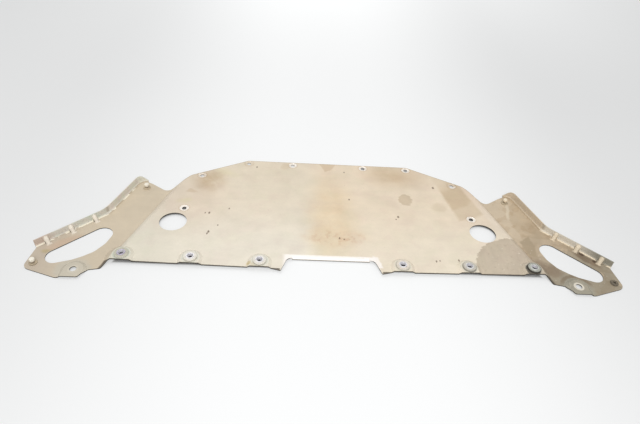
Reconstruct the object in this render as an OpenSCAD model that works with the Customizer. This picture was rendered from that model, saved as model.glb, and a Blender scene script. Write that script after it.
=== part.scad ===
// Underbody cover pressed from light-metal sheet, seen with its upper, car-side face up.
// A flat middle plate steps down to two wings that rest on the ground plane.
// X runs across the car, Y towards the rear edge, Z up. Places are measured from the
// line of the front bolts until the last step, which moves the middle of the outline to
// the origin.

/* [Sheet] */
// Thickness of the sheet
sheet_t = 2; // [1.2:0.1:2.5]
// Height of the middle plate's underside above the wings' underside
plate_lift = 6; // [5:0.5:10]
// Steepness of the step between plate and wing, degrees
step_angle = 28; // [24:1:40]
// Bend radius of that step, at mid thickness
step_bend_r = 10; // [4:1:12]

/* [Middle plate] */
// Half length of the straight rear edge
rear_half = 205; // [190:1:225]
// Distance of the rear edge behind the bolt line
rear_y = 359; // [350:1:380]
// Distance of the front edge before the bolts
front_y = 16; // [15:0.5:20]
// Sweep of the bolt line and front edge towards the rear, degrees
front_sweep = 1.25; // [0:0.25:2]
// Distance of the step from the middle, at the bolt line
step_front_x = 451; // [448:1:456]
// Angle between the step and the direction of travel
step_lean = 17.8; // [16:0.2:19]

/* [Front notch] */
// Half width of the notch along its bottom
notch_half = 80; // [60:1:84]
// Half width of the notch at its mouth
notch_mouth_half = 103.5; // [100:0.5:107]
// Distance of the notch bottom behind the bolt line
notch_y = 12; // [6:1:20]
// Outer radius of the rolled lip along the notch bottom
lip_r = 6; // [4:0.5:7]

/* [Bolt bosses] */
// Distance of the inner bolts from the middle
bolt_inner_x = 147; // [144:1:170]
// Distance of the middle bolts from the middle
bolt_middle_x = 287; // [240:1:330]
// Distance of the outer bolts from the middle
bolt_outer_x = 425; // [390:1:426]
// Height of a pressed boss
boss_h = 4; // [2:0.5:5]
// Radius of a boss's flat top
boss_top_r = 18.5; // [17:0.5:19]
// Width of a boss's sloping side
boss_ramp = 6; // [4:0.5:7]
// Distance of the wing bolts from the middle
wing_bolt_x = 507; // [505:0.5:510]
// Distance of the wing bolts before the bolt line
wing_bolt_y = 38; // [36:0.5:40]
// Distance of the wing's front edge before the wing bolts
wing_edge_y = 20; // [18:0.5:23]
// Diameter of the plain bolt hole in each wing
wing_bolt_d = 13; // [8:0.5:16]

/* [Collars] */
// Diameter of a collar's flange
collar_flange_d = 28; // [22:0.5:30]
// Thickness of a collar's flange
collar_flange_t = 3.5; // [2:0.5:5]
// Diameter of the rim that stands on the flange
collar_rim_d = 17; // [15:0.5:19]
// Height of that rim above the flange
collar_rim_h = 1.5; // [0.5:0.5:3]
// Bore of a collar
collar_bore_d = 11; // [8:0.5:12]
// Outer diameter of the sleeve below the flange
collar_sleeve_d = 16; // [14.5:0.5:18]
// Length of the sleeve below the sheet
collar_sleeve_l = 5; // [3:0.5:8]
// Gap between a sleeve and the sheet, all round
collar_gap = 0.2; // [0.1:0.1:0.5]
// Width of the bead that locks a sleeve under the sheet
collar_bead = 1.4; // [0.8:0.1:1.8]

/* [Holes] */
// Diameter of the two large service holes
service_d = 59; // [40:1:64]
// Distance of the service holes from the middle
service_x = 345.5; // [330:0.5:350]
// Distance of the service holes behind the bolt line
service_y = 111; // [100:1:120]
// Diameter of the small dished holes
small_d = 10; // [6:0.5:12]
// Diameter of the flat bottom of a dish
dish_flat_d = 17; // [14:0.5:18]
// Diameter of a dish where it leaves the sheet's surface
dish_top_d = 21; // [19:0.5:22]
// Depth of a dish
dish_h = 1.2; // [0.5:0.1:1.5]

/* [Wing] */
// Distance of the wing's tip from the middle
tip_x = 607; // [605:0.5:612]
// Distance of the flange's outer end behind the bolt line
tip_bend_y = 21.7; // [18:0.1:26]
// Radius of the slot's outer end
slot_outer_r = 20; // [16:0.5:22]
// Radius of the slot's inner end
slot_inner_r = 21.5; // [18:0.5:23]
// Radius of the belly of the slot's front edge
slot_belly_r = 29; // [26:0.5:30]
// Distance between the slot's straight rear edge and the flange
slot_margin = 29.5; // [26:0.5:32]

/* [Wing flange] */
// Height of the upturned flange above the ground plane, along its outer stretch
flange_h = 17; // [14:0.5:19]
// Height of the flange on its way to the rear corner
flange_crest_h = 20; // [19:0.5:26]
// Outer bend radius of the flange
flange_bend_r = 6; // [4:0.5:7]
// Radius in plan where the flange changes direction
flange_turn_r = 80; // [60:5:85]
// Radius in plan of the flange's rear corner
flange_corner_r = 20; // [18:1:22]
// Length of the flange between the tip and its change of direction
flange_outer_l = 161; // [157:1:165]
// Length of the flange between its change of direction and the rear corner
flange_rear_l = 113.5; // [110:0.5:117]
// Half width of a stiffening dart across the flange's bend
dart_r = 5; // [3.5:0.5:6]
// Distance of the first dart from the flange's outer end
dart_first = 23; // [16:1:25]
// Spacing of the darts along the bend
dart_pitch = 52; // [40:1:54]

/* [Pins and grommets] */
// Diameter of a pin's head
pin_head_d = 10; // [8:0.5:12]
// Height of a pin's head
pin_head_h = 7; // [5:0.5:9]
// Diameter of a pin's stem
pin_stem_d = 6; // [4:0.5:7]
// Height of the head's underside above the grommet
pin_neck_h = 3; // [1:0.5:5]
// Outer diameter of a grommet
grommet_d = 16; // [14:0.5:18]
// Height of a grommet above the sheet
grommet_h = 2.5; // [1.5:0.5:4]
// Diameter of the sheet hole that a grommet plugs
grommet_hole_d = 10; // [9:0.5:12]

/* [Hidden] */

// Facets of the true round surfaces, and the largest turn between two points of an arc
round_fn = 48;
arc_step = 10;
// Overlap of one solid into its neighbour, and how far cutters run past what they cut
seam = 1;
reach = 60;
// How far the folded section runs to each side of the step, and along it each way
plate_reach = step_front_x + 40;
wing_reach = 320;
step_reach = 500;

// Levels
plate_top = plate_lift + sheet_t;
boss_top = plate_top + boss_h;
wing_boss_top = sheet_t + boss_h;
boss_slope = boss_ramp / boss_h;

// The flange's route in plan: outer stretch, turn, rear stretch, rear corner
outer_heading = 135;
flange_turn = 28;
rear_heading = outer_heading - flange_turn;
corner_sweep = 72;
end_heading = rear_heading + corner_sweep;
// The section's flat tail inside the bend, the outline's distance inside the bend, and
// that of the outline's corners at both ends of the flange
flange_tail = 12;
flange_inset = 3;
end_inset = 0.5;
// Turn by which the outline stops short of the flange's end
end_trim = 3;
// Height where the flange fades out, past its rear corner, and its shortest straight part
flange_end_h = 3.5;
flange_straight = 1;
// Lean of the tip's edge
tip_lean = 4.5;
// Steps of a section round the flange's bend, of its route round the turn, and round
// the rear corner
bend_steps = 6;
turn_steps = 4;
corner_steps = 8;
turn_tangent = flange_turn_r * tan(flange_turn / 2);
tip_start = [tip_x - tip_lean, tip_bend_y];
turn_point = tip_start + flange_outer_l * heading(outer_heading);
corner_start = turn_point + flange_rear_l * heading(rear_heading);
outer_normal = heading(outer_heading - 90);
rear_normal = heading(rear_heading - 90);
turn_centre = turn_point - turn_tangent * heading(outer_heading) + flange_turn_r * outer_normal;
corner_centre = corner_start - flange_corner_r * rear_normal;

// Places of the holes, right side, from the bolt line
bolts = [for (x = [bolt_inner_x, bolt_middle_x, bolt_outer_x]) [x, swept_y(x)]];
wing_bolt = [wing_bolt_x, -wing_bolt_y];
tip_pin = [tip_x - 16.5, -22];
rear_pin = corner_centre - [3, 4];

// Corners of the outline's right half as [x, y, radius], from the rear to the notch
wing_front_y = wing_bolt_y + wing_edge_y;
middle_y = (rear_y - wing_front_y) / 2;
rear_corner = [rear_half, rear_y, 12];
shoulder = [rear_half + 133, rear_y - 73, 25];
valley = [corner_centre.x - 54, corner_centre.y - 16, 14];
neck = [corner_centre.x - 13, corner_centre.y + 12, 20];
tip_corner = [tip_x, -35, 16];
pad_outer = [wing_bolt_x + 30, -wing_front_y, 10];
pad_inner = [wing_bolt_x - 14, -wing_front_y, 5];
pad_heel = [wing_bolt_x - 26, -35, 5];
crook = [step_front_x + 7, -30, 8];
step_root = [step_front_x - 4, swept_y(step_front_x - 4) - front_y, 2];
notch_shoulder = [notch_mouth_half + 18, swept_y(notch_mouth_half + 18) - front_y, 10];
notch_horn = [notch_mouth_half, swept_y(notch_mouth_half) - front_y - 4.5, 2];
notch_foot = [notch_mouth_half - 13, notch_y, 12];

// Small dished holes: two by the rear edge, one by the shoulder, one by the service hole
small_inset = 12.5;
small_holes = [[90.5, rear_y - small_inset], [rear_half - 2.5, rear_y - small_inset],
    [shoulder.x - 26.5, shoulder.y + 1], [service_x - 15, service_y + 48]];

// Circles that a slot's outline wraps, as [radius, distance along the flange]
slot_circles = [[slot_outer_r, 17.5], [slot_belly_r - 3, 44], [slot_belly_r - 1, 60],
    [slot_belly_r, 77], [slot_belly_r - 2.5, 97], [slot_inner_r, 115]];

// Darts along the outer stretch of the flange
dart_count = 3;
dart_reach = flange_h - flange_bend_r - sheet_t + 1;

function heading(a) = [cos(a), sin(a)];
function unit(v) = v / norm(v);
function swept_y(x) = (x - bolt_middle_x) * tan(front_sweep);
function arc(centre, r, from, to) =
    let (n = max(2, ceil(abs(to - from) / arc_step)))
    [for (i = [0 : n]) centre + r * heading(from + (to - from) * i / n)];

// Points that round the corner q, between its neighbours p and s
function corner(p, q, s, r) =
    let (a = unit(p - q), b = unit(s - q), half = acos(a * b) / 2,
        centre = q + unit(a + b) * r / sin(half),
        start = q + a * r / tan(half) - centre,
        end = q + b * r / tan(half) - centre,
        from = atan2(start.y, start.x),
        sweep = (atan2(end.y, end.x) - from + 540) % 360 - 180)
    arc(centre, r, from, from + sweep);

// A path of [x, y, corner radius] as plain points
function rounded(path) =
    [for (i = [0 : len(path) - 1])
        let (q = path[i], p = path[(i + len(path) - 1) % len(path)],
            s = path[(i + 1) % len(path)])
        each (q[2] > 0 ? corner([p.x, p.y], [q.x, q.y], [s.x, s.y], q[2]) : [[q.x, q.y]])];

function with_r(p, r) = [p.x, p.y, r];
function reversed(list) = [for (i = [len(list) - 1 : -1 : 0]) list[i]];

// Right half of the flat outline. Along the flange it stays a little inside the bend,
// where the flange's own tail covers it.
function half_plan() =
    rounded(concat(
        [[-seam, rear_y, 0], rear_corner, shoulder, valley, neck,
            with_r(corner_centre
                + (flange_corner_r - end_inset) * heading(end_heading - 90 - end_trim), 0)],
        [for (p = arc(corner_centre, flange_corner_r - flange_inset,
            end_heading - 90 - arc_step, rear_heading - 90)) with_r(p, 0)],
        [with_r(turn_point - flange_inset * (outer_normal + rear_normal)
                / (1 + outer_normal * rear_normal), flange_turn_r + flange_inset),
            with_r(tip_start + end_inset * (heading(outer_heading) - outer_normal), 0),
            tip_corner, pad_outer, pad_inner, pad_heel, crook, step_root, notch_shoulder,
            notch_horn, notch_foot, [notch_half, notch_y, 0],
            [notch_half, notch_y + lip_r + seam, 0], [-seam, notch_y + lip_r + seam, 0]]));

// A loft through sections of one kind, each given as its lower and its upper edge
module loft(sections) {
    n = len(sections[0][0]);
    ring = 2 * n;
    last = (len(sections) - 1) * ring;
    sides = [for (k = [0 : len(sections) - 2], i = [0 : ring - 1])
        let (a = k * ring + i, b = k * ring + (i + 1) % ring)
        each [[a, b + ring, a + ring], [a, b, b + ring]]];
    ends = [for (i = [0 : n - 2])
        let (a = i, b = i + 1, c = ring - 2 - i, d = ring - 1 - i)
        each [[a, c, b], [a, d, c], [last + a, last + b, last + c],
            [last + a, last + c, last + d]]];
    polyhedron([for (s = sections) each concat(s[0], reversed(s[1]))], concat(sides, ends));
}

// A section's [x, y] points stood upright, with x outwards from place along normal
function stood(points, place, normal) =
    [for (p = points) [place.x + p.x * normal.x, place.y + p.x * normal.y, p.y]];

// Section across the step: x outwards from the wing's end of the step, y up.
// side is -1 for the sheet's lower face, 0 for its middle and 1 for its upper face.
function step_face(side) =
    let (low_r = step_bend_r - side * sheet_t / 2,
        high_r = step_bend_r + side * sheet_t / 2,
        slope_l = (plate_lift - 2 * step_bend_r * (1 - cos(step_angle))) / sin(step_angle),
        width = 2 * step_bend_r * sin(step_angle) + slope_l * cos(step_angle),
        low_centre = [0, step_bend_r + sheet_t / 2],
        high_centre = [-width, plate_lift + sheet_t / 2 - step_bend_r])
    concat([[wing_reach, (1 + side) * sheet_t / 2]],
        arc(low_centre, low_r, -90, -90 - step_angle),
        arc(high_centre, high_r, 90 - step_angle, 90),
        [[-plate_reach, plate_lift + (1 + side) * sheet_t / 2]]);

// Lofts a section along the step line of the right wing
module along_step(lower, upper) {
    normal = heading(step_lean);
    loft([for (along = [step_reach, -step_reach])
        let (place = [step_front_x, 0] + along * heading(step_lean + 90))
        [stood(lower, place, normal), stood(upper, place, normal)]]);
}

module folded_sheet() {
    along_step(step_face(-1), step_face(1));
}

// Everything above the middle of the sheet
module above_sheet() {
    along_step(step_face(0), [for (p = step_face(0)) [p.x, reach]]);
}

// A boss, open towards the front edge: a flat top with sloping sides, filled below.
// top is the level of its flat face, and depth how far down its slopes run.
module boss_form(top, depth) {
    foot_r = boss_top_r + depth * boss_slope;
    translate([0, 0, top - depth]) {
        rotate_extrude(angle = 180, $fn = round_fn)
            polygon([[0, 0], [foot_r, 0], [boss_top_r, depth], [0, depth]]);
        rotate([90, 0, 0]) linear_extrude(reach)
            polygon([[-foot_r, 0], [foot_r, 0], [boss_top_r, depth], [-boss_top_r, depth]]);
    }
}

// Every boss of one side, raised by shift
module bosses(shift) {
    for (b = bolts)
        translate([b.x, b.y, shift]) boss_form(boss_top, boss_top);
    translate([wing_bolt.x, wing_bolt.y, shift]) boss_form(wing_boss_top, wing_boss_top);
}

// A shallow dish in the middle plate, lowered by shift
module dish_form(shift) {
    flare = (dish_top_d - dish_flat_d) / 2 / dish_h;
    translate([0, 0, plate_top - dish_h - shift])
        cylinder(h = dish_h + seam, r1 = dish_flat_d / 2,
            r2 = dish_top_d / 2 + seam * flare, $fn = round_fn);
}

// The lip that rolls down along the bottom of the notch
module notch_lip() {
    centre = [notch_y + lip_r, plate_top - lip_r];
    half = notch_half + seam;
    translate([-half, 0, 0]) rotate([90, 0, 90]) linear_extrude(2 * half)
        polygon(concat([[centre.x + lip_r, plate_top]], arc(centre, lip_r, 90, 180),
            arc(centre, lip_r - sheet_t, 180, 90), [[centre.x + lip_r, plate_lift]]));
}

// Section of the flange: x outwards from the start of the bend, y up to h at its edge.
// Where h is low the bend turns through less than a right angle. inset is the distance
// inside the outer face.
function flange_face(h, inset) =
    let (full = h >= flange_bend_r + flange_straight,
        turn = full ? 90 : atan2(flange_bend_r, flange_straight)
            + asin((h - flange_bend_r) / norm([flange_bend_r, flange_straight])),
        r = flange_bend_r - inset,
        straight = full ? h - flange_bend_r : flange_straight,
        bend = [for (i = [0 : bend_steps])
            [0, flange_bend_r] - r * heading(90 + turn * i / bend_steps)])
    concat([[-flange_tail, inset]], bend, [bend[bend_steps] + straight * heading(turn)]);

// Eases from one value to another as t goes from 0 to 1
function eased(from, to, t) = from + (to - from) * (1 - cos(180 * t)) / 2;

// Stations of the flange from the tip to its end, each as [place, outward normal, height]
function flange_route() =
    concat([[tip_start, outer_normal, flange_h]],
        [for (i = [0 : turn_steps])
            let (t = i / turn_steps, normal = heading(outer_heading - 90 - flange_turn * t))
            [turn_centre - flange_turn_r * normal, normal, eased(flange_h, flange_crest_h, t)]],
        [for (i = [0 : corner_steps])
            let (t = i / corner_steps, normal = heading(rear_heading - 90 + corner_sweep * t))
            [corner_centre + flange_corner_r * normal, normal,
                eased(flange_crest_h, flange_end_h, t * t)]]);

module flange_strip() {
    loft([for (s = flange_route())
        [stood(flange_face(s[2], 0), s[0], s[1]), stood(flange_face(s[2], sheet_t), s[0], s[1])]]);
}

// Moves along the outer stretch of the flange: x runs along it, and outwards is -y
module at_flange() {
    translate([tip_start.x, tip_start.y, 0]) rotate([0, 0, outer_heading]) children();
}

// A ridge with an arched section, rising at 45 degrees across the flange's bend.
// Its crest runs inset below the line that leaves the sheet at dart_reach.
module dart_form(r, inset) {
    crest = [-(dart_reach + sheet_t) + inset * sqrt(2), 0];
    for (i = [0 : dart_count - 1])
        at_flange()
            translate([dart_first + i * dart_pitch, -crest.x, crest.y])
                rotate([-45, 0, 0]) rotate([90, 0, 0])
                    linear_extrude(2 * reach, center = true)
                        polygon(concat(arc([0, -r], r, 0, 180),
                            [[-r, -3 * dart_reach], [r, -3 * dart_reach]]));
}

// The room for darts, inside the middle of the bent sheet
module dart_room() {
    middle = flange_face(flange_h - sheet_t / 2, sheet_t / 2);
    back = -2 * dart_reach;
    at_flange() rotate([90, 0, 90]) linear_extrude(flange_outer_l)
        polygon([for (p = concat([[back, sheet_t / 2]], middle,
            [[back, flange_h - sheet_t / 2]])) [-p.x, p.y]]);
}

// The slot, its rear edge parallel to the outer stretch of the flange
module slot_outline() {
    inwards = -outer_normal;
    hull() {
        for (c = slot_circles)
            translate(tip_start + c[1] * heading(outer_heading)
                + (slot_margin + c[0]) * inwards)
                circle(r = c[0], $fn = round_fn);
    }
}

module cut_through(d) {
    translate([0, 0, -seam]) cylinder(h = reach, d = d, $fn = round_fn);
}

module half_panel() {
    difference() {
        union() {
            intersection() {
                translate([0, 0, -seam]) linear_extrude(reach) polygon(half_plan());
                union() {
                    folded_sheet();
                    intersection() {
                        above_sheet();
                        bosses(0);
                    }
                }
            }
            flange_strip();
            intersection() {
                dart_form(dart_r, 0);
                dart_room();
            }
            for (p = small_holes) translate([p.x, p.y, 0]) dish_form(sheet_t);
        }
        bosses(-sheet_t);
        dart_form(dart_r - sheet_t, sheet_t);
        translate([0, 0, -seam]) linear_extrude(reach) slot_outline();
        for (b = bolts) translate(b) cut_through(collar_sleeve_d + 2 * collar_gap);
        translate(wing_bolt) cut_through(wing_bolt_d);
        for (p = [tip_pin, rear_pin]) translate(p) cut_through(grommet_hole_d);
        translate([service_x, service_y, 0]) cut_through(service_d);
        for (p = small_holes) translate([p.x, p.y, 0]) {
            dish_form(0);
            cut_through(small_d);
        }
    }
}

// Moves the middle of the outline to the origin
module placed(p = [0, 0], level = 0) {
    translate([p.x, p.y - middle_y, level]) children();
}

module panel() {
    color("tan") placed() {
        half_panel();
        mirror([1, 0, 0]) half_panel();
        notch_lip();
    }
}

// A flanged sleeve that a bolt clamps; z = 0 is the face that the flange sits on
module collar(side, index) {
    bore_r = collar_bore_d / 2;
    sleeve_r = collar_sleeve_d / 2;
    flange_r = collar_flange_d / 2;
    rim_r = collar_rim_d / 2;
    rim_top = collar_flange_t + collar_rim_h;
    edge = 0.6;
    sleeve_end = -sheet_t - collar_sleeve_l;
    color("slategray") placed([side * bolts[index].x, bolts[index].y], boss_top)
        rotate_extrude($fn = round_fn)
            polygon([[bore_r, sleeve_end], [sleeve_r, sleeve_end],
                [sleeve_r, -sheet_t - 2 * collar_bead],
                [sleeve_r + collar_bead, -sheet_t - collar_bead],
                [sleeve_r + collar_bead, -sheet_t], [sleeve_r, -sheet_t], [sleeve_r, 0],
                [flange_r, 0], [flange_r, collar_flange_t - edge],
                [flange_r - edge, collar_flange_t], [rim_r, collar_flange_t],
                [rim_r - edge, rim_top], [bore_r + edge, rim_top], [bore_r, rim_top - edge]]);
}

// A rubber ring pressed into a sheet hole, flush with the underside
module grommet(side, p) {
    edge = 0.8;
    top = sheet_t + grommet_h;
    color("#26241f") placed([side * p.x, p.y])
        rotate_extrude($fn = round_fn)
            polygon([[pin_stem_d / 2, 0], [grommet_hole_d / 2, 0],
                [grommet_hole_d / 2, sheet_t], [grommet_d / 2, sheet_t],
                [grommet_d / 2, top - edge], [grommet_d / 2 - edge, top],
                [pin_stem_d / 2, top]]);
}

// A plastic locating pin: a stem through the grommet and a round head
module pin(side, p) {
    edge = 1.2;
    head_base = sheet_t + grommet_h + pin_neck_h;
    head_top = head_base + pin_head_h;
    color("wheat") placed([side * p.x, p.y])
        rotate_extrude($fn = round_fn)
            polygon([[0, 0], [pin_stem_d / 2, 0], [pin_stem_d / 2, head_base],
                [pin_head_d / 2, head_base], [pin_head_d / 2, head_top - edge],
                [pin_head_d / 2 - edge, head_top], [0, head_top]]);
}

panel();
collar(-1, 2);  // collar_left_outer
collar(-1, 1);  // collar_left_middle
collar(-1, 0);  // collar_left_inner
collar(1, 0);  // collar_right_inner
collar(1, 1);  // collar_right_middle
collar(1, 2);  // collar_right_outer
grommet(-1, tip_pin);  // grommet_left_tip
grommet(-1, rear_pin);  // grommet_left_rear
grommet(1, rear_pin);  // grommet_right_rear
grommet(1, tip_pin);  // grommet_right_tip
pin(-1, tip_pin);  // pin_left_tip
pin(-1, rear_pin);  // pin_left_rear
pin(1, rear_pin);  // pin_right_rear
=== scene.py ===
import math

import bmesh
import bpy
from mathutils import Matrix, Vector

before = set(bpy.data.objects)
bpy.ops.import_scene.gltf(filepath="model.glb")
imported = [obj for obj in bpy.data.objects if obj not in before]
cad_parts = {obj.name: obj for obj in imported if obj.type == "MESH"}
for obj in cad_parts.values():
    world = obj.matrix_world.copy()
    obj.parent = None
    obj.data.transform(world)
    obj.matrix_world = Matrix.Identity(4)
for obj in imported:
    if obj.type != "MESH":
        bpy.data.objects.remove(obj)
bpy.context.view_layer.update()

# Camera: a hand-held view from above the front edge, a little to the left, tilted down
# onto the cover. Its place and turn were fitted to the outline and the holes.
camera_place = Vector((-0.075234, -0.869880, 0.742458))
pitch, yaw, roll = 0.6928665, -0.0601928, 0.0796995
ahead = Vector((-math.sin(yaw) * math.cos(pitch), math.cos(yaw) * math.cos(pitch), -math.sin(pitch)))
level_right = Vector((math.cos(yaw), math.sin(yaw), 0))
level_up = level_right.cross(ahead)
right = level_right * math.cos(roll) + level_up * math.sin(roll)
up = level_up * math.cos(roll) - level_right * math.sin(roll)
camera = bpy.data.objects.new("camera", bpy.data.cameras.new("camera"))
camera.matrix_world = Matrix.Translation(camera_place) @ Matrix((right, up, -ahead)).transposed().to_4x4()
camera.data.sensor_width = 36
camera.data.lens = 28.0725
camera.data.clip_start = 0.01
bpy.context.scene.collection.objects.link(camera)
bpy.context.scene.camera = camera


# Pressed sheet: light-metal sheet, blanked and pressed in one piece, painted over by dry road dirt. The
# middle plate is pale, the wings are browner, the right wing is the darkest, and round the clip holes and
# along the notch's lip the dirt has been wiped off. Shade is painted in as well: along the front edges, in
# the cut edges, at the lip's foot, on the flange's rear bend and round the rightmost collar.
class Signal:
    """A socket of a finish that takes part in sums."""

    def __init__(self, finish, socket):
        self.finish, self.socket = finish, socket

    def __add__(self, other):
        return self.finish.maths("ADD", self, other)

    def __radd__(self, other):
        return self.finish.maths("ADD", other, self)

    def __sub__(self, other):
        return self.finish.maths("SUBTRACT", self, other)

    def __rsub__(self, other):
        return self.finish.maths("SUBTRACT", other, self)

    def __mul__(self, other):
        return self.finish.maths("MULTIPLY", self, other)

    def __truediv__(self, other):
        return self.finish.maths("DIVIDE", self, other)


class Finish:
    """The shader of a material or a world. Places in it are in millimetres."""

    def __init__(self, owner, shader="ShaderNodeBsdfPrincipled", end="ShaderNodeOutputMaterial"):
        owner.use_nodes = True
        self.owner, self.tree = owner, owner.node_tree
        self.tree.nodes.clear()
        self.surface = self.tree.nodes.new(shader)
        self.end = self.tree.nodes.new(end)
        self.tree.links.new(self.surface.outputs[0], self.end.inputs["Surface"])
        metres = self.node("ShaderNodeTexCoord", output="Object")
        self.place = self.node("ShaderNodeVectorMath", {"operation": "SCALE"}, {0: metres, "Scale": 1000.0})
        self.x, self.y, self.z = self.parts(self.place)
        self.level = self.parts(self.node("ShaderNodeNewGeometry", output="Normal"))[2]

    def node(self, kind, settings=None, sockets=None, output=0):
        made = self.tree.nodes.new(kind)
        for name, value in (settings or {}).items():
            setattr(made, name, value)
        for name, value in (sockets or {}).items():
            self.feed(made.inputs[name], value)
        return Signal(self, made.outputs[output])

    def feed(self, socket, value):
        if isinstance(value, Signal):
            self.tree.links.new(value.socket, socket)
        elif isinstance(value, tuple) and len(value) == 3 and socket.type == "RGBA":
            socket.default_value = (*value, 1.0)
        else:
            socket.default_value = value

    def parts(self, vector):
        split = self.node("ShaderNodeSeparateXYZ", None, {0: vector}).socket.node
        return [Signal(self, out) for out in split.outputs]

    def maths(self, operation, *values):
        return self.node("ShaderNodeMath", {"operation": operation}, dict(enumerate(values)))

    def rise(self, value, low, high):
        """0 below low, 1 above high, with a soft step between."""
        return self.node("ShaderNodeMapRange", {"interpolation_type": "SMOOTHSTEP"},
                         {"Value": value, "From Min": low, "From Max": high})

    def grain(self, size, detail=3.0, seed=0.0, stretch=(1, 1, 1)):
        """Noise about 0, from about -0.5 to 0.5, with features of the given size."""
        scale = tuple(1 / (size * along) for along in stretch)
        moved = self.node("ShaderNodeVectorMath", {"operation": "MULTIPLY_ADD"},
                          {0: self.place, 1: scale, 2: (seed, seed * 0.7, 0.0)})
        return self.node("ShaderNodeTexNoise", None,
                         {"Vector": moved, "Scale": 1.0, "Detail": detail, "Roughness": 0.55}, "Fac") - 0.5

    def reach(self, dx, dy):
        return self.maths("SQRT", dx * dx + dy * dy)

    def least(self, values):
        smallest = values[0]
        for value in values[1:]:
            smallest = self.maths("MINIMUM", smallest, value)
        return smallest

    def nearest(self, across, places):
        """How far away the nearest of several places is."""
        return self.least([self.reach(across - px, self.y - py) for px, py in places])

    def beyond(self, across, place, turn):
        """How far a point lies beyond the line through a place, in the direction turn."""
        c, s = math.cos(math.radians(turn)), math.sin(math.radians(turn))
        return (across - place[0]) * c + (self.y - place[1]) * s

    def blend(self, mask, below, above, kind="MIX"):
        return self.node("ShaderNodeMix", {"data_type": "RGBA", "blend_type": kind},
                         {0: mask, 6: below, 7: above}, 2)

    def scaled(self, colour, value):
        return self.node("ShaderNodeVectorMath", {"operation": "SCALE"}, {0: colour, "Scale": value})

    def seen(self):
        """1 where the camera or a reflection looks at it, and 0 where it only lights others."""
        camera_ray, glossy_ray, transmission_ray = (
            self.node("ShaderNodeLightPath", output=f"Is {kind} Ray")
            for kind in ("Camera", "Glossy", "Transmission"))
        return self.maths("MAXIMUM", self.maths("MAXIMUM", camera_ray, glossy_ray), transmission_ray)

    def relief(self, height):
        """A normal from a height in millimetres."""
        return self.node("ShaderNodeBump", None, {"Strength": 1.0, "Distance": 0.001, "Height": height})

    def wear(self, *nodes, **sockets):
        """Sets the surface's sockets, and puts the finish on the named pieces."""
        for name, value in sockets.items():
            self.feed(self.surface.inputs[name.replace("_", " ")], value)
        for piece in nodes:
            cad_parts[piece].data.materials.clear()
            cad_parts[piece].data.materials.append(self.owner)


def display(red, green, blue):
    """A colour given as it shows on screen, from 0 to 255."""
    return tuple(c / 12.92 if c <= 0.04045 else ((c + 0.055) / 1.055) ** 2.4
                 for c in (red / 255, green / 255, blue / 255))


def tint(red, green, blue, by=(230, 216, 195)):
    """What turns the film's own colour into the given one when they are multiplied."""
    return tuple(a / b for a, b in zip(display(red, green, blue), display(*by)))


film = Finish(bpy.data.materials.new("road_film_and_painted_shade"))
x, y, z = film.x, film.y, film.z
side = film.maths("ABSOLUTE", x)
ragged_x = x + film.grain(60, 3, 1.3) * 34 + film.grain(11, 3, 5.1) * 9
ragged_y = y + film.grain(60, 3, 9.7) * 34 + film.grain(11, 3, 7.7) * 9
mottle = film.grain(70, 5, 2.2)
cloud = film.grain(210, 2, 4.4)
dust = film.grain(3.2, 3, 8.8)
ragged = film.rise(film.grain(28, 3, 18.1), -0.45, 0.25)


def blot(cx, cy, rx, ry, turn=0.0, soft=0.25, at=(ragged_x, ragged_y)):
    """A ragged patch round a place, its radii turned anticlockwise by turn degrees."""
    c, s = math.cos(math.radians(turn)), math.sin(math.radians(turn))
    dx, dy = at[0] - cx, at[1] - cy
    across = film.reach((dx * c + dy * s) / rx, (dy * c - dx * s) / ry)
    return 1 - film.rise(across, 1 - soft, 1 + soft)


def patch(corners, at, soft=1.5):
    """1 inside a straight-sided patch, whose corners are given anticlockwise."""
    depths = []
    for (ax, ay), (bx, by) in zip(corners, corners[1:] + corners[:1]):
        run = math.dist((ax, ay), (bx, by))
        depths.append((at[1] - ay) * ((bx - ax) / run) - (at[0] - ax) * ((by - ay) / run))
    return film.rise(film.least(depths), -soft, soft)


# How far a point lies outside the step line, and outside the start of the flange's bend,
# which has an outer stretch, a rear stretch and a rounded rear corner. Directions are in
# degrees, and those of the middle plate's rear edge and shoulders point inwards.
step_x, bolt_line_y, step_turn = 451, -150.5, 17.8
bend_tip, bend_knee, corner_centre = (602.5, -128.8), (488.66, -14.96), (436.35, 87.74)
outer_turn, rear_turn = 45, 17
rear_edges = (((205, 208.5), 270), ((205, 208.5), 241.25), ((338, 135.5), 214.8))
corner_radius, far_inside = 20, 1000
past_step = film.beyond(side, (step_x, bolt_line_y), step_turn)
past_outer = film.beyond(side, bend_tip, outer_turn)
past_rear = film.beyond(side, bend_knee, rear_turn)
past_corner = film.nearest(side, [corner_centre]) - corner_radius
round_corner = film.rise(film.beyond(side, corner_centre, rear_turn + 90), -1, 1)
past_straight = film.maths("MINIMUM", past_outer, past_rear)
on_wing = film.rise(past_step, 6, 8) * (1 - round_corner * film.rise(side, 430, 424))
past_bend = past_straight * (1 - round_corner) + past_corner * round_corner - (1 - on_wing) * far_inside
along_outer = film.beyond(side, bend_tip, outer_turn + 90)

# The film on the middle plate: pale grey cream at the left, warmer right of a soft line
# near the middle, and paler again towards the front edge
warm = film.rise(ragged_x + cloud * 60, -75, -5)
plate_film = film.blend(warm, display(226, 214, 194), display(230, 214, 191))
front = film.rise(y + cloud * 120, 60, -135)
front_film = film.blend(warm, display(230, 222, 206), display(230, 219, 199))
plate_film = film.blend(front * 0.9, plate_film, front_film)
plate_film = film.blend(film.rise(x, -230, -430) * 0.8, plate_film, display(216, 210, 193))
plate_film = film.blend(film.rise(y + cloud * 80, 90, 215) * 0.2, plate_film, display(217, 199, 174))
nibble = film.grain(14, 3, 5.1) * 8
crisp = (x + nibble, y + film.grain(14, 3, 7.7) * 8)
bitten = (x + film.grain(9, 4, 21.3) * 16, y + film.grain(9, 4, 23.9) * 16)

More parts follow.
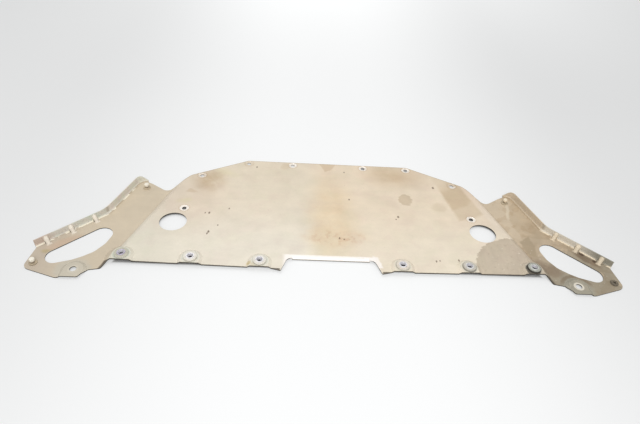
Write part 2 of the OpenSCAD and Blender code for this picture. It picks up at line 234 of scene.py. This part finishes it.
brown, grey = tint(205, 184, 153), tint(206, 190, 166)
rust, ochre = tint(218, 194, 166), tint(226, 215, 178)
rust_clouds = film.rise(film.grain(20, 4, 16.3), -0.2, 0.15)
rust_flecks = film.rise(film.grain(11, 4, 17.7), -0.03, 0.12)
rust_haze = film.rise(film.grain(30, 4, 19.7), -0.2, 0.3)
for mask, colour in (
    (blot(-288, 118, 32, 38, 0, 0.8) * ragged, brown),
    (blot(-350, 70, 90, 120, 20, 0.6), tint(226, 207, 185)),
    (blot(-276, 132, 12, 14, 0, 0.6) * 0.3, brown),
    (blot(-262, 158, 40, 13, -27, 0.6) * 0.4, ochre),
    (blot(-323, 71, 10, 5, 0, 0.5) * 0.5, brown),
    (blot(-336, 38, 15, 10, 0, 0.6) * 0.5, ochre),
    (blot(-107, 193, 11, 15, 0, 0.5) * 0.4, brown),
    (blot(-130, 120, 110, 80, 0, 0.7) * 0.5, tint(224, 210, 187)),
    (patch(((-26, 216), (-8, 174), (8, 182), (24, 216)), crisp) * 0.55, brown),
    (blot(165, 170, 66, 46, -6, 0.8) * (0.45 + ragged * 0.3), tint(205, 184, 154)),
    (blot(158, 160, 30, 18, 0, 0.5, bitten) * 0.2, brown),
    (blot(184, 72, 17, 21, 0, 0.1, bitten), grey),
    (blot(264, 50, 19, 15, 0, 0.4) * 0.5, grey),
    (blot(12, -68, 62, 28, -4, 0.5) * film.rise(mottle, -0.2, 0.12) * 0.35, rust),
    (blot(2, -60, 74, 32, -4, 0.7) * rust_clouds * 0.3, tint(222, 200, 176)),
    (blot(12, -72, 56, 18, -3, 0.6) * rust_flecks * 0.5, tint(212, 182, 156)),
    (blot(-2, 20, 48, 120, 0, 0.6) * rust_haze * 0.3, tint(222, 196, 164)),
    (blot(4, -20, 50, 150, 0, 0.6) * 0.35, tint(224, 202, 160)),
):
    plate_film = film.blend(mask, plate_film, colour, "MULTIPLY")
for size, seed, colour in ((46, 25.3, tint(226, 209, 190)), (38, 27.1, tint(225, 213, 190))):
    hue_mottle = film.rise(film.grain(size, 3, seed), -0.02, 0.14)
    plate_film = film.blend(hue_mottle * 0.5, plate_film, colour, "MULTIPLY")

# Right rear: two overlapping patches with straight edges, worn off towards the middle, and a paler strip
# along the step
shoulder = patch(((302, -2), (317, 5), (367, 14), (364, 80), (346, 134), (300, 170), (266, 170)), crisp, 6.0)
worn_corner = 1 - blot(262, 160, 44, 36, -25, 0.6) * 0.75
plate_film = film.blend(shoulder * worn_corner * 0.85, plate_film, tint(210, 193, 168), "MULTIPLY")
shoulder = patch(((292, 38), (334, 60), (350, 86), (338, 134), (300, 170), (266, 170)), crisp, 5.0)
plate_film = film.blend(shoulder * worn_corner * 0.75, plate_film, tint(217, 200, 174), "MULTIPLY")
right_side = film.rise(x, 0, 10)
strip = film.rise(past_step + nibble, -33, -22) * right_side * film.rise(y, -70, -40)
pale_strip = film.blend(film.rise(y, 120, 0), display(225, 205, 182), display(228, 214, 194))
plate_film = film.blend(strip * 0.95, plate_film, pale_strip)

# Right front: a dried wet patch with a scalloped edge
teeth = film.grain(8, 2, 6.9) * 14
scallop = film.reach(x - 408, y + 156) + teeth
wet = (1 - film.rise(scallop, 102, 105)) * film.rise(past_step, 8, 4)
plate_film = film.blend(wet, plate_film, tint(196, 180, 159), "MULTIPLY")
plate_film = film.scaled(plate_film, 1 + wet * film.grain(10, 4, 19.3, (1, 2.5, 1)) * 0.28)
wet_spots = wet * film.rise(film.grain(9, 3, 12.5), 0.1, 0.2)
plate_film = film.blend(wet_spots * 0.35, plate_film, display(164, 146, 122))
wet_flecks = wet * film.rise(film.grain(7, 2, 3.9), 0.17, 0.24)
plate_film = film.blend(wet_flecks * 0.8, plate_film, display(222, 212, 196))

# The film on the wings: tan brown on the left, darker and mottled on the right, nearly
# black-brown by the third dart
left_film = film.blend(film.rise(x, -470, -600), display(205, 191, 168), display(188, 175, 157))
left_film = film.blend(blot(-480, -145, 62, 36, 45, 0.6) * 0.5, left_film, display(192, 179, 158))
left_film = film.blend(blot(-554, -112, 34, 12, 45, 0.5) * 0.6, left_film, display(199, 172, 147))
left_film = film.blend(blot(-577, -139, 9, 6, 45, 0.5) * 0.7, left_film, display(178, 163, 122))
outward = x * 0.75 - y
browner = film.rise(outward + mottle * 60, 330, 420)
right_film = film.blend(browner, display(203, 186, 161), display(186, 168, 143))
blackish = film.rise(outward + mottle * 90, 420, 520)
right_film = film.blend(blackish, right_film, display(155, 144, 124))
right_film = film.blend(film.rise(mottle, 0.0, 0.22) * 0.4, right_film, tint(196, 178, 152), "MULTIPLY")
right_film = film.blend(blot(470, 120, 26, 40, 0, 0.5) * 0.5, right_film, display(180, 163, 139))
flakes = film.rise(film.grain(30, 2, 11.3), 0.03, 0.07)
right_film = film.blend(flakes * 0.4, right_film, tint(210, 190, 163), "MULTIPLY")
flakes = film.rise(film.grain(24, 3, 13.9), 0.08, 0.12)
right_film = film.blend(flakes * 0.35, right_film, display(210, 190, 162))
darker_corners = ((438, -39), (500, -45), (520, 10), (455, 85), (441, 72), (428, 28), (428, -7))
darker_side = patch(darker_corners, crisp, 2.0)
right_film = film.blend(darker_side * 0.6, right_film, tint(213, 196, 171), "MULTIPLY")
for dirt_x, dirt_y, length, width, strength, colour in (
    (560, -104, 30, 9, 0.8, display(116, 98, 78)),
    (556, -88, 6, 4, 0.9, display(78, 58, 42)),
    (576, -109, 5, 3.5, 0.9, display(78, 58, 42)),
):
    grime = blot(dirt_x, dirt_y, length, width, -45, 0.35, crisp) * strength
    right_film = film.blend(grime, right_film, colour)
right_film = film.blend(blot(478, -28, 60, 15, 62, 0.4) * 0.5, right_film, display(172, 155, 130))
right_film = film.blend(blot(462, -138, 36, 17, -38, 0.4) * 0.75, right_film, display(132, 114, 94))
dark_corner = patch(((427, -55), (433, -97), (449, -103), (458, -68), (453, -39)), crisp, 2.0)
right_film = film.blend(dark_corner * 0.8, right_film, display(164, 147, 121))
right_film = film.blend(blot(432, 52, 4, 32, -15, 0.5, crisp) * 0.6, right_film, display(220, 207, 184))
streaks = film.grain(16, 4, 4.9, (1, 3, 1))
right_film = film.scaled(right_film, 1 + streaks * film.rise(x, 430, 540) * 0.45)
wing_film = film.blend(right_side, left_film, right_film)
pad = blot(-507, -190, 32, 34) + blot(507, -190, 32, 34)
pad_film = film.blend(right_side, display(190, 186, 172), display(158, 156, 142))
wing_film = film.blend(pad * 0.6, wing_film, pad_film)
wing_bolt = (507, -188.5)
from_wing_bolt = film.nearest(side, [wing_bolt])
from_pad_foot = film.maths("ABSOLUTE", from_wing_bolt + dust * 6 - 31)
pad_foot = film.rise(from_pad_foot, 6, 2) * film.rise(y, -188, -172)
wing_film = film.blend(pad_foot * right_side * 0.6, wing_film, display(116, 96, 72))
film_edge = past_step - film.rise(y, 170, 40) * 6 + nibble * 0.3
dirt_and_shade = film.blend(film.rise(film_edge, -13, -9.5), plate_film, wing_film)

# Fine mottling over all of it, with pale and dark specks
wipes = film.grain(22, 4, 7.1, (5, 1, 1))
smudges = film.grain(30, 4, 20.2)
dirt_and_shade = film.scaled(dirt_and_shade, 1 + mottle * 0.2 + dust * 0.1 + cloud * 0.08 + wipes * 0.11 + smudges * 0.12)
pale_specks = film.rise(film.grain(4.2, 1, 6.2), 0.24, 0.29) * film.rise(mottle, -0.05, 0.1)
dark_specks = film.rise(film.grain(3.1, 1, 2.9), 0.27, 0.31) * film.rise(cloud, -0.1, 0.1)
dirt_and_shade = film.blend(pale_specks * 0.5, dirt_and_shade, display(238, 230, 214))
dirt_and_shade = film.blend(dark_specks * 0.45, dirt_and_shade, display(120, 98, 74))

# Single dark marks, where stones and tools have chipped the film
near = (x + dust * 3, y + dust * 5)
for mark_x, mark_y, size in (
    (-181, 182, 1.8), (41, 175, 1.6), (262, 125, 2.6), (222, -133, 1.7), (230, -131, 1.3), (271, -128, 1.7),
    (159, 7, 2.2), (153, -2, 1.4), (-272, -5, 2.0), (-281, -6, 1.3), (-264, -68, 2.2), (-266, -74, 1.6),
    (-247, -46, 1.5), (-230, 12, 1.3), (20, -73, 1.8), (30, -76, 1.3), (48, 64, 1.6),
):
    dirt_and_shade = film.blend(blot(mark_x, mark_y, size, size * 1.7, 0, 0.4, near) * 0.8, dirt_and_shade, display(92, 70, 50))

# Clean rings in the eight dishes, stained bosses round the collars. Four of the dishes' holes look light in
# the photo and four look black. The light ones get paler walls here, a painted light, and a painted spot of
# light on the floor below.
small_holes = ((90.5, 196.0), (202.5, 196.0), (311.5, 136.5), (330.5, 8.5))
painted_light_holes = ((-311.5, 136.5), (-202.5, 196.0), (-90.5, 196.0), (311.5, 136.5))
ring = film.nearest(side, small_holes)
halo = 1 - film.rise(ring + dust * 3, 11, 15)
dirt_and_shade = film.blend(halo * 0.35, dirt_and_shade, tint(196, 172, 138), "MULTIPLY")
clean = 1 - film.rise(ring + dust * 2, 9.8, 11.4)
for stain, strength in (
    (blot(-202.5, 196, 14, 14, 0, 0.1), 0.75),
    (blot(311.5, 143, 16, 9, 0, 0.3), 0.7),
    (blot(-311.5, 136.5, 14, 14, 0, 0.1), 0.4),
):
    clean = clean * (1 - stain * strength)
clean = clean * (0.7 + film.rise(film.grain(6, 3, 22.7), -0.1, 0.15) * 0.3)
dirt_and_shade = film.blend(clean * 0.95, dirt_and_shade, display(241, 235, 227))
bolt_places = ((147, -153.55), (287, -150.5), (425, -147.49))
boss = film.nearest(side, bolt_places)
boss_stain = film.rise(boss + dust * 5, 20.5, 15) * (0.8 + mottle)
dirt_and_shade = film.blend(boss_stain * 0.7, dirt_and_shade, tint(208, 205, 190), "MULTIPLY")
collar_dirt = (1 - film.rise(boss + dust * 2, 14.2, 15.4)) * film.rise(x, -100, 420)
dirt_and_shade = film.blend(collar_dirt * 0.7, dirt_and_shade, display(120, 112, 100))
# Painted shade: a dark disc round the rightmost collar, set towards its front left, stands in for the shaded
# side of its flange.
dirt_and_shade = film.blend(blot(422.5, -151, 15.5, 15.5, 0, 0.06, crisp) * 0.9, dirt_and_shade, display(80, 75, 66))
olive_halo = film.rise(film.nearest(x, [(-425, -147.5)]) + dust * 4, 18, 14)
dirt_and_shade = film.blend(olive_halo * 0.6, dirt_and_shade, tint(203, 202, 180), "MULTIPLY")
deposit = blot(-168, -161, 5, 7, -20, 0.5) + blot(-158, -166, 12, 4, 0, 0.6) * 0.5
dirt_and_shade = film.blend(deposit * 0.7, dirt_and_shade, display(196, 178, 132))
washed = film.rise(from_wing_bolt + dust * 2, 11.5, 9.5) * (0.2 + right_side * 0.65)
dirt_and_shade = film.blend(washed, dirt_and_shade, display(226, 219, 204))

# The notch's lip is wiped clean. The flange's wall is greyer, and its bend is pale in dashes between the
# pale darts.
lip_edge = film.rise(y + dust * 3, -126.5, -130.5)
foot = patch(((88, -137), (96, -158), (107, -158), (98, -128), (88, -124)), crisp, 2.0)
lip = film.maths("MAXIMUM", lip_edge * film.rise(side, 104, 92), foot * 0.85)
dirt_and_shade = film.blend(lip * 0.95, dirt_and_shade, display(246, 240, 234))
wall_tone = film.rise(film.grain(24, 3, 5.5), -0.12, 0.12)
rear_stretch = film.rise(past_outer - past_rear, -4, 4)
left_wall = film.blend(wall_tone, display(207, 210, 197), display(212, 206, 196))
left_rear = film.blend(wall_tone, display(218, 217, 203), display(222, 213, 204))
left_wall = film.blend(rear_stretch, left_wall, left_rear)
left_wall = film.blend(film.rise(x, -572, -594), left_wall, display(200, 182, 168))
right_wall = film.blend(film.rise(x, 545, 590), display(216, 209, 195), display(150, 146, 132))
rear_wall = film.blend(film.rise(past_bend, 5.5, 8.5), display(206, 190, 166), display(214, 205, 192))
right_wall = film.blend(rear_stretch * 0.9, right_wall, rear_wall)
wall_grime = film.rise(past_bend + dust * 4, 4.5, 6.5) * film.rise(x, 540, 552)
wall_grime = wall_grime * film.rise(film.grain(12, 3, 15.1), -0.15, 0.05)
right_wall = film.blend(wall_grime * 0.5, right_wall, display(112, 102, 86))
wall_film = film.scaled(film.blend(right_side, left_wall, right_wall), 1 + mottle * 0.3 + dust * 0.14)
dirt_and_shade = film.blend(film.rise(past_bend, 1.5, 3.5), dirt_and_shade, wall_film)
bend_band = film.rise(past_bend, -1.6, -0.2) * film.rise(past_bend, 3.4, 2.0)
dashes = film.rise(film.grain(22, 2, 6.6) + 0.1 - rear_stretch * 0.14, 0.0, 0.05)
dashes = dashes * film.maths("MAXIMUM", 1 - right_side, film.rise(x, 478, 492))
# Painted shade on the bend of the rear stretches, against the light that its curve catches.
rear_bend_painted_shade = bend_band * rear_stretch * (0.6 + right_side * 0.1)
dirt_and_shade = film.blend(rear_bend_painted_shade, dirt_and_shade, tint(200, 185, 162), "MULTIPLY")
cream = film.blend(right_side, display(244, 237, 218), display(232, 217, 192))
dirt_and_shade = film.blend(bend_band * dashes * 0.9, dirt_and_shade, cream)
dart = film.least([film.maths("ABSOLUTE", along_outer - station) for station in (23, 75, 127)])
dart_top = film.rise(dart + dust, 6.0, 4.4) * film.rise(past_bend, -12, -9) * film.rise(past_bend, 4.6, 3.4)
dart_film = film.blend(right_side, display(230, 221, 207), display(224, 209, 184))
dirt_and_shade = film.blend(dart_top * 0.75, dirt_and_shade, dart_film)

# A darker line runs along the rear edges. The band along the front line is painted shade, the cut edges are
# painted near black, partly dirt and partly painted shade, and the lip's foot gets a painted shadow line.
# The walls of the light holes are kept paler, a painted light. The underside is greyer with long smears.
rear_gap = film.least([film.beyond(side, corner, inward) for corner, inward in rear_edges])
rear_line = film.rise(rear_gap + dust * 2, 2.4, 0.8) * film.rise(past_step, -8, -14)
dirt_and_shade = film.blend(rear_line * 0.45, dirt_and_shade, display(150, 136, 108))
upright = film.rise(film.maths("ABSOLUTE", film.level), 0.4, 0.15)
# Painted light: the walls of the four light holes get less of the dark edge.
hole_wall_painted_light = film.rise(film.nearest(x, painted_light_holes), 9, 8)
edge_dirt_and_shade = upright * film.rise(past_bend, 2.0, 0.0) * (1 - hole_wall_painted_light * 0.75)
from_front = y - bolt_line_y + 16 - (side - 287) * math.tan(math.radians(1.25))
# Painted shade: a dark band along the front edge on top stands in for the shadowed gap under it.
front_painted_shade = film.rise(from_front + dust * 1.5, 1.9, 0.7) * film.rise(side, 103, 106)
front_painted_shade = front_painted_shade * film.rise(past_step, 4, 0)
dirt_and_shade = film.blend(front_painted_shade * 0.85, dirt_and_shade, display(70, 60, 46))
wiped_edge = lip_edge * film.rise(side, 89, 84)
# The cut edges are painted near black, partly dirt and partly painted shade.
dirt_and_shade = film.blend(edge_dirt_and_shade * (1 - wiped_edge * 0.6), dirt_and_shade, display(44, 37, 28))
# Painted shadow: a dark line at the foot of the notch's lip.
lip_painted_shadow = film.rise(z, 4.4, 3.2) * lip_edge * film.rise(side, 92, 86)
dirt_and_shade = film.blend(lip_painted_shadow * 0.75, dirt_and_shade, display(96, 88, 72))
rim = upright * film.rise(past_bend, 5.0, 6.2)
dirt_and_shade = film.blend(rim * 0.5, dirt_and_shade, display(150, 140, 122))
below = film.rise(film.level, -0.2, -0.6)
smears = film.grain(26, 4, 3.3, (1, 6, 1))
under_film = film.scaled(display(150, 143, 130), 1 + smears * 0.5 + dust * 0.15)
dirt_and_shade = film.blend(below, dirt_and_shade, under_film)

bare = film.maths("MAXIMUM", clean, lip) * (1 - upright)
film.wear(
    "panel",
    Base_Color=dirt_and_shade,
    Metallic=0.06 + bare * 0.22 + below * 0.3,
    Roughness=0.66 + dust * 0.2 + mottle * 0.2 - bare * 0.2 - wet * 0.1 - below * 0.12,
    Normal=film.relief(dust * 0.05 + mottle * 0.5 + cloud * 1.4 + (pale_specks + halo * 0.5) * 0.06),
)

# Collars: six turned steel sleeves with a flange and a low rim, zinc plated and gone dull
# grey, pressed into the front bosses and locked by a bead below the sheet.
collars = [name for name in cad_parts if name.startswith("collar_")]
zinc = Finish(bpy.data.materials.new("dull_zinc_collar"))
radius = zinc.nearest(zinc.maths("ABSOLUTE", zinc.x), bolt_places)
stain, speckle = zinc.grain(7, 4, 2.1), zinc.grain(1.4, 2, 4.2)
rightmost_collars = zinc.rise(zinc.x, 150, 420)
far_left = zinc.rise(zinc.x, -330, -400)
flange_colour = zinc.blend(far_left, display(221, 216, 204), display(184, 181, 163))
flange_colour = zinc.blend(zinc.rise(zinc.x, 0, 100), flange_colour, display(217, 207, 193))
flange_colour = zinc.blend(rightmost_collars, flange_colour, display(168, 168, 157))
flange_colour = zinc.scaled(flange_colour, 1 + stain * 0.45 + speckle * 0.2)
# The flange's side is painted pale on the four left collars, a painted light that softens its shade, and
# dark on the two rightmost, a painted shade, near black on the last, where it also reaches over the top's
# outer edge.
flange_side_shading = zinc.rise(radius + speckle * 0.6 + rightmost_collars * 0.7, 13.1, 13.7)
side_painted_light_and_shade = zinc.blend(rightmost_collars, display(204, 198, 185), display(64, 60, 52))
flange_colour = zinc.blend(flange_side_shading, flange_colour, side_painted_light_and_shade)
silver = zinc.blend(far_left, display(226, 224, 226), display(186, 179, 194))
silver = zinc.blend(rightmost_collars * 0.6, silver, display(190, 194, 186))
silver = zinc.scaled(silver, 1 + stain * 0.5 + speckle * 0.35)
on_rim = zinc.rise(radius + speckle * 0.8, 9.3, 8.3)
plating_and_shading = zinc.blend(on_rim, flange_colour, silver)
# The bore's wall is painted near white, a painted light.
bore = zinc.rise(radius, 5.9, 5.6)
plating_and_shading = zinc.blend(bore, plating_and_shading, display(246, 244, 248))
# Painted shade: a grey ring round the bore's mouth, darker on the rightmost collars.
bore_mouth_painted_shade = zinc.rise(radius, 5.6, 5.8) * zinc.rise(radius, 6.9, 6.4)
edge_tone = zinc.blend(rightmost_collars, display(150, 145, 150), display(88, 84, 80))
plating_and_shading = zinc.blend(bore_mouth_painted_shade * (0.6 + rightmost_collars * 0.3), plating_and_shading, edge_tone)
# Painted shade: the bore is dark towards its bottom.
depth = zinc.z + stain * 2 - zinc.rise(zinc.x, 0, 100) * 0.3
plating_and_shading = zinc.blend(bore * zinc.rise(depth, 10.4, 9.2), plating_and_shading, display(38, 34, 38))
zinc.wear(
    *collars,
    Base_Color=plating_and_shading,
    Metallic=0.12 + on_rim * (1 - bore_mouth_painted_shade) * 0.5 - bore * 0.45,
    Roughness=0.56 - on_rim * 0.22 + stain * 0.3,
    Normal=zinc.relief(stain * 0.12 + speckle * 0.05),
)

# Grommets: four moulded rubber rings, pressed into holes of the wings and dulled by dust
# that has settled on their upper faces.
grommets = [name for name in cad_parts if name.startswith("grommet_")]
rubber = Finish(bpy.data.materials.new("dusty_rubber_ring"))
settled = rubber.rise(rubber.level, 0.4, 0.95) * rubber.rise(rubber.grain(4, 3, 3.4), -0.16, 0.1)
far_right = rubber.rise(rubber.x, 450, 550)
dustiness = 0.5 + settled * 0.4 + rubber.rise(rubber.x, 0, -50) * 0.1
dustiness = dustiness + rubber.rise(rubber.y, 0, 50) * 0.25 - far_right * 0.25
dust_colour = rubber.blend(far_right, display(196, 180, 153), display(140, 130, 110))
ring_rubber = rubber.blend(dustiness, display(60, 50, 40), dust_colour)
rubber.wear(
    *grommets,
    Base_Color=ring_rubber,
    Roughness=0.62 + settled * 0.25,
    Normal=rubber.relief(rubber.grain(1.1, 2, 1.2) * 0.05),
)

# Pins: three moulded cream plastic locating pins, their heads pale and their necks darker brown towards the
# bottom. They stand in the rings of the left tip and of both rear corners.
pins = [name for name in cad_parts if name.startswith("pin_")]
nylon = Finish(bpy.data.materials.new("cream_plastic_pin"))
neck_darkening = nylon.rise(nylon.z + nylon.grain(4, 3, 2.0) * 4, 10.5, 7.0)
pin_colour = nylon.blend(nylon.rise(nylon.x, -200, 200), display(240, 234, 219), display(233, 219, 194))
pin_colour = nylon.blend(neck_darkening * 0.8, pin_colour, display(118, 92, 62))
pin_colour = nylon.scaled(pin_colour, 1 + nylon.grain(3, 3, 5.0) * 0.12)
nylon.wear(
    *pins,
    Base_Color=pin_colour,
    Roughness=0.42 + neck_darkening * 0.3,
    Normal=nylon.relief(nylon.grain(1.6, 2, 8.0) * 0.04),
)

# Floor and light: a plain pale floor, which the wings rest on, two wide soft lamps and an even pale sky. For
# the rays that see them, floor and sky are brighter than as light. The floor's glow is painted light, dimmer
# to the sides and brighter towards the back and far off.
ground = bmesh.new()
bmesh.ops.create_grid(ground, x_segments=1, y_segments=1, size=9)
floor_mesh = bpy.data.meshes.new("floor")
ground.to_mesh(floor_mesh)
ground.free()
floor = bpy.data.objects.new("floor", floor_mesh)
bpy.context.scene.collection.objects.link(floor)
paint = Finish(bpy.data.materials.new("pale_floor_and_painted_light"))
floor_lit, floor_seen, cool_white = display(238, 239, 240), (0.4, 0.4, 0.4), (0.985, 0.998, 1.0)
seen = paint.seen()
away = paint.maths("ABSOLUTE", paint.x)
# Painted light: the floor's glow, dimmer to the sides and brighter towards the back and far off.
near_glow, far_glow = 0.54, 0.82
painted_glow = near_glow - paint.rise(away, 100, 800) * 0.16 + paint.rise(paint.y, 400, 3000) * 0.08
from_wall_middle = paint.maths("ABSOLUTE", paint.x - 250)
painted_glow = painted_glow + paint.rise(paint.y, 500, 2200) * (1 - paint.rise(from_wall_middle, 500, 1800)) * 0.16
far_off = paint.rise(paint.reach(paint.x, paint.y), 2000, 6000)
painted_glow = painted_glow + (far_glow - painted_glow) * far_off

# The glow hides the shadow that the cover casts, so a painted shadow takes it off under the middle plate,
# except below its notch, its two large holes and the light small ones, where painted spots of light are
# left.
front_y, notch_half, notch_y = -164, 100, -124
service_hole, service_radius, light_radius = (345.5, -39.5), 29.5, 9
inside_painted_shadow = paint.least([
    paint.beyond(away, (step_x - 10, bolt_line_y), step_turn + 180),
    paint.y - front_y,
    *(paint.beyond(away, corner, inward) for corner, inward in rear_edges),
    paint.maths("MAXIMUM", away - notch_half, paint.y - notch_y),
    paint.nearest(away, [service_hole]) - service_radius,
    paint.nearest(paint.x, painted_light_holes) - light_radius,
])
# Painted shadow: the glow fades out inside the middle plate's outline.
painted_glow = painted_glow * (1 - paint.rise(inside_painted_shadow, 0, 6) * 0.95)
paint.wear(
    Base_Color=paint.blend(seen, floor_lit, floor_seen),
    Roughness=0.9,
    Emission_Color=paint.scaled(cool_white, seen * painted_glow),
    Emission_Strength=1.0,
)
floor.data.materials.append(paint.owner)

sky = Finish(bpy.data.worlds.new("soft_sky"), "ShaderNodeBackground", "ShaderNodeOutputWorld")
sky.wear(Color=(1.0, 1.0, 1.0), Strength=0.45)
backdrop = sky.node("ShaderNodeBackground", None, {"Color": cool_white, "Strength": 1.0})
lighting = Signal(sky, sky.surface.outputs[0])
both = sky.node("ShaderNodeMixShader", None, {0: sky.seen(), 1: lighting, 2: backdrop})
sky.tree.links.new(both.socket, sky.end.inputs["Surface"])
bpy.context.scene.world = sky.owner
for lamp_name, lamp_place, lamp_size, power in (
    ("overhead_lamp", (-0.5, 0.4, 2.4), 2.0, 20.5),
    ("front_lamp", (0.1, -1.9, 1.9), 1.4, 32.0),
):
    lamp = bpy.data.objects.new(lamp_name, bpy.data.lights.new(lamp_name, "AREA"))
    lamp.data.size = lamp_size
    lamp.data.energy = power
    lamp.location = lamp_place
    lamp.rotation_euler = (-Vector(lamp_place)).to_track_quat("-Z", "Y").to_euler()
    bpy.context.scene.collection.objects.link(lamp)

bpy.context.scene.view_settings.view_transform = "Standard"
